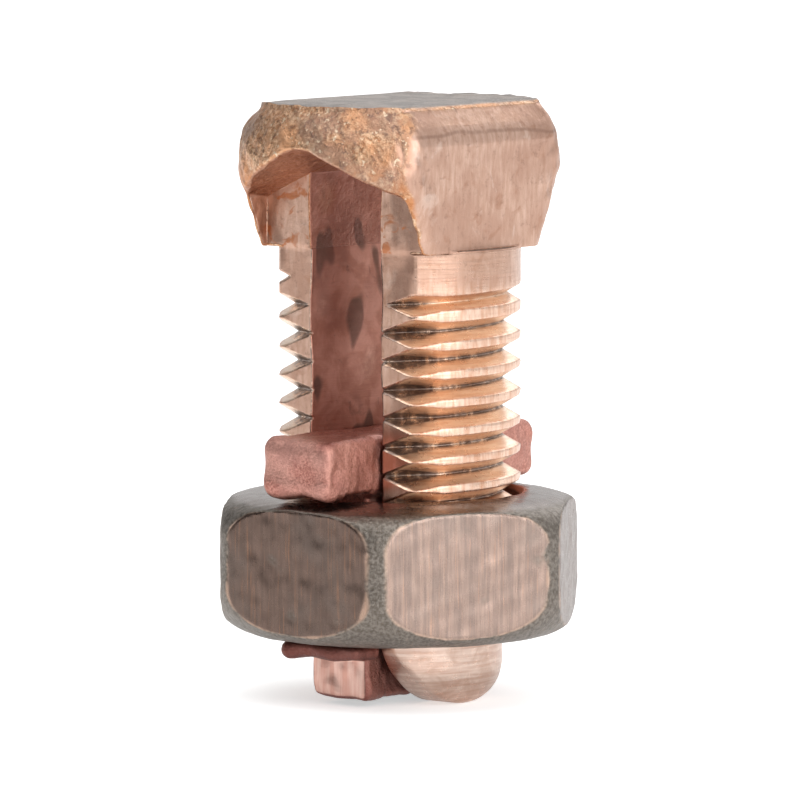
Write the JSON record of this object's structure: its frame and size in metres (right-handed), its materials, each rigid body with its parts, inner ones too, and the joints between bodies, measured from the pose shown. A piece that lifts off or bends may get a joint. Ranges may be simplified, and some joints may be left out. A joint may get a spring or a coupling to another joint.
{
  "type": "split bolt connector",
  "caption": "Slotted clamp bolt with a hex nut and a captive pressure bar that squeezes wires together in the slot.",
  "frame": {"origin": "on the bolt's axis, at the level of the rounded ends of the two legs", "axes": "+Z along the bolt's axis towards the head, Y along the slot in which the wires lie, X from leg to leg across the slot"},
  "size_m": [0.0214, 0.0194, 0.0335],
  "materials": {
    "bolt": "matte",
    "nut": "satin",
    "bar": "matte"
  },
  "bodies": {
    "bolt": {"split_bolt": "bolt"},
    "bar": {"pressure_bar": "bar"},
    "nut": {"hex_nut": "nut"}
  },
  "joints": [
    {"name": "bar_travel", "type": "slide", "parent": "bolt", "child": "bar", "axis": [0, 0, 1], "range_m": [-0.00635, 0.00913]},
    {"name": "nut_turn", "type": "hinge", "parent": "bar", "child": "nut", "pos_m": [0, 0, 0.0037], "axis": [0, 0, 1], "range_deg": [-1440, 2070]}
  ],
  "couplings": [
    {"joint": "bar_travel", "follows": "nut_turn", "m_per_rad": 0.00025266}
  ]
}
